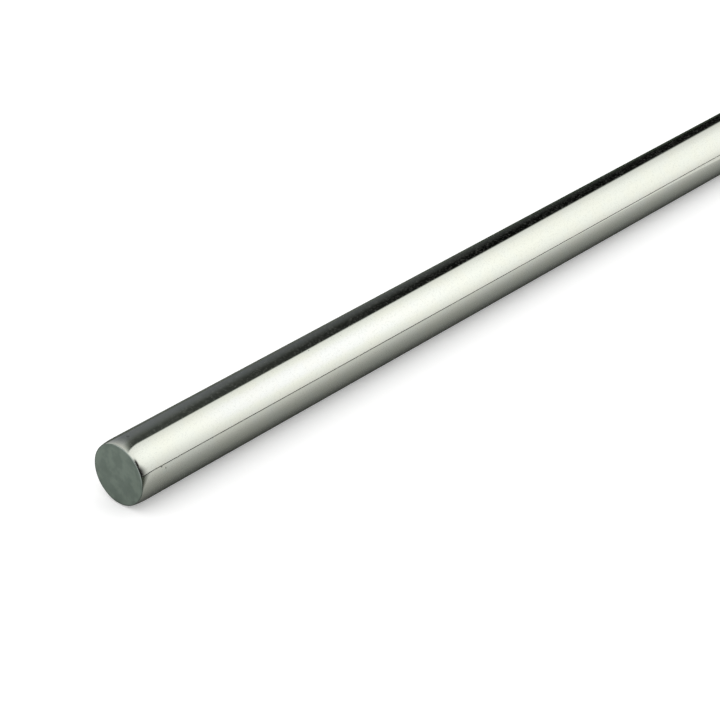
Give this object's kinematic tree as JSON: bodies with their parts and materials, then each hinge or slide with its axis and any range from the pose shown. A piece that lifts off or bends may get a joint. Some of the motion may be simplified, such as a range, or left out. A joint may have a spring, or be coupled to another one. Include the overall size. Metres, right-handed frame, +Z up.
{
  "type": "bright steel rod",
  "caption": "Round bright steel rod, ground to a near mirror, with flat faced ends that have a small bevel.",
  "frame": {"origin": "on the floor under the middle of the rod's length", "axes": "+X along the rod, +Y level across it, +Z up from the floor that the rod lies on"},
  "size_m": [0.333, 0.02, 0.02],
  "materials": {
    "bright_steel": "wall ground bright to a near mirror, end faces satin from facing"
  },
  "bodies": {
    "root": {"steel_rod": "bright_steel"}
  },
  "joints": []
}
